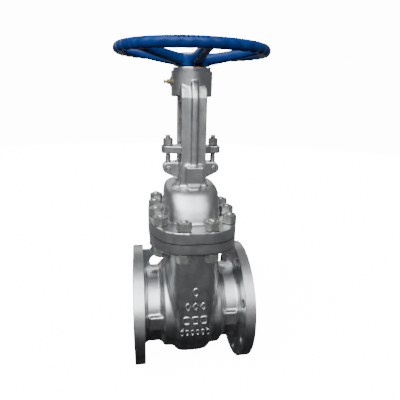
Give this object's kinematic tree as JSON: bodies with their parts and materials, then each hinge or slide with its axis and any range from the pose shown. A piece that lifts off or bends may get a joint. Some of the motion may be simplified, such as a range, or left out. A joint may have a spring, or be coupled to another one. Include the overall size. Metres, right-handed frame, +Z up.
{
  "type": "gate valve",
  "caption": "Flanged wedge gate valve with bolted bonnet, outside screw and yoke, rising stem and handwheel.",
  "frame": {"origin": "where the pipe's axis meets the stem's axis, in the middle of the shut wedge", "axes": "+X along the pipe from inlet to outlet, +Y from the front to the back, +Z up along the stem to the handwheel"},
  "size_m": [0.32, 0.32, 0.7258],
  "materials": {
    "cast_steel": "silver-grey paint over sand-cast steel",
    "machined_steel": "turned and ground",
    "bolt_steel": "dull grey, lightly oiled",
    "wheel_paint": "glossy blue enamel over cast iron",
    "bronze": "turned bronze",
    "brass": "plain brass",
    "graphite": "matt black graphite"
  },
  "bodies": {
    "valve_body": {"body": "cast_steel", "seat_ring_inlet": "machined_steel", "seat_ring_outlet": "machined_steel", "bonnet_gasket": "graphite", "bonnet_yoke": "cast_steel", "bonnet_stud_01": "bolt_steel", "bonnet_stud_02": "bolt_steel", "bonnet_stud_03": "bolt_steel", "bonnet_stud_04": "bolt_steel", "bonnet_stud_05": "bolt_steel", "bonnet_stud_06": "bolt_steel", "bonnet_stud_07": "bolt_steel", "bonnet_stud_08": "bolt_steel", "bonnet_stud_09": "bolt_steel", "bonnet_stud_10": "bolt_steel", "bonnet_stud_11": "bolt_steel", "bonnet_stud_12": "bolt_steel", "bonnet_nut_01": "bolt_steel", "bonnet_nut_02": "bolt_steel", "bonnet_nut_03": "bolt_steel", "bonnet_nut_04": "bolt_steel", "bonnet_nut_05": "bolt_steel", "bonnet_nut_06": "bolt_steel", "bonnet_nut_07": "bolt_steel", "bonnet_nut_08": "bolt_steel", "bonnet_nut_09": "bolt_steel", "bonnet_nut_10": "bolt_steel", "bonnet_nut_11": "bolt_steel", "bonnet_nut_12": "bolt_steel", "backseat_bushing": "machined_steel", "packing_ring_1": "graphite", "packing_ring_2": "graphite", "packing_ring_3": "graphite", "packing_ring_4": "graphite", "gland_follower": "machined_steel", "gland_flange": "cast_steel", "eyebolt_pin_left": "bolt_steel", "eyebolt_pin_right": "bolt_steel", "sleeve_retainer": "cast_steel", "retainer_set_screw": "bolt_steel", "grease_nipple": "brass"},
    "wheel_and_sleeve": {"handwheel": "wheel_paint", "handwheel_key": "bolt_steel", "handwheel_nut": "bolt_steel", "yoke_sleeve": "bronze"},
    "stem_and_wedge": {"stem": "machined_steel", "wedge": "machined_steel"},
    "eyebolt_left": {"eyebolt_left": "bolt_steel"},
    "gland_nut_left": {"gland_nut_left": "bolt_steel"},
    "eyebolt_right": {"eyebolt_right": "bolt_steel"},
    "gland_nut_right": {"gland_nut_right": "bolt_steel"}
  },
  "joints": [
    {"name": "wheel_spin", "type": "hinge", "parent": "valve_body", "child": "wheel_and_sleeve", "pos_m": [0, 0, 0.546], "axis": [0, 0, 1], "range_deg": [0, 9720]},
    {"name": "stem_lift", "type": "slide", "parent": "valve_body", "child": "stem_and_wedge", "axis": [0, 0, 1], "range_m": [0, 0.162]},
    {"name": "left_eyebolt_swing", "type": "hinge", "parent": "valve_body", "child": "eyebolt_left", "pos_m": [-0.0498, 0, 0.3342], "axis": [0, -1, 0], "range_deg": [0, 60]},
    {"name": "left_nut_backoff", "type": "slide", "parent": "eyebolt_left", "child": "gland_nut_left", "axis": [0, 0, 1], "range_m": [0, 0.012]},
    {"name": "right_eyebolt_swing", "type": "hinge", "parent": "valve_body", "child": "eyebolt_right", "pos_m": [0.0498, 0, 0.3342], "axis": [0, 1, 0], "range_deg": [0, 60]},
    {"name": "right_nut_backoff", "type": "slide", "parent": "eyebolt_right", "child": "gland_nut_right", "axis": [0, 0, 1], "range_m": [0, 0.012]}
  ],
  "couplings": [
    {"joint": "stem_lift", "follows": "wheel_spin", "m_per_rad": 0.00095493},
    {"joint": "left_nut_backoff", "follows": "left_eyebolt_swing", "m_per_rad": 0.011459},
    {"joint": "right_nut_backoff", "follows": "right_eyebolt_swing", "m_per_rad": 0.011459}
  ]
}
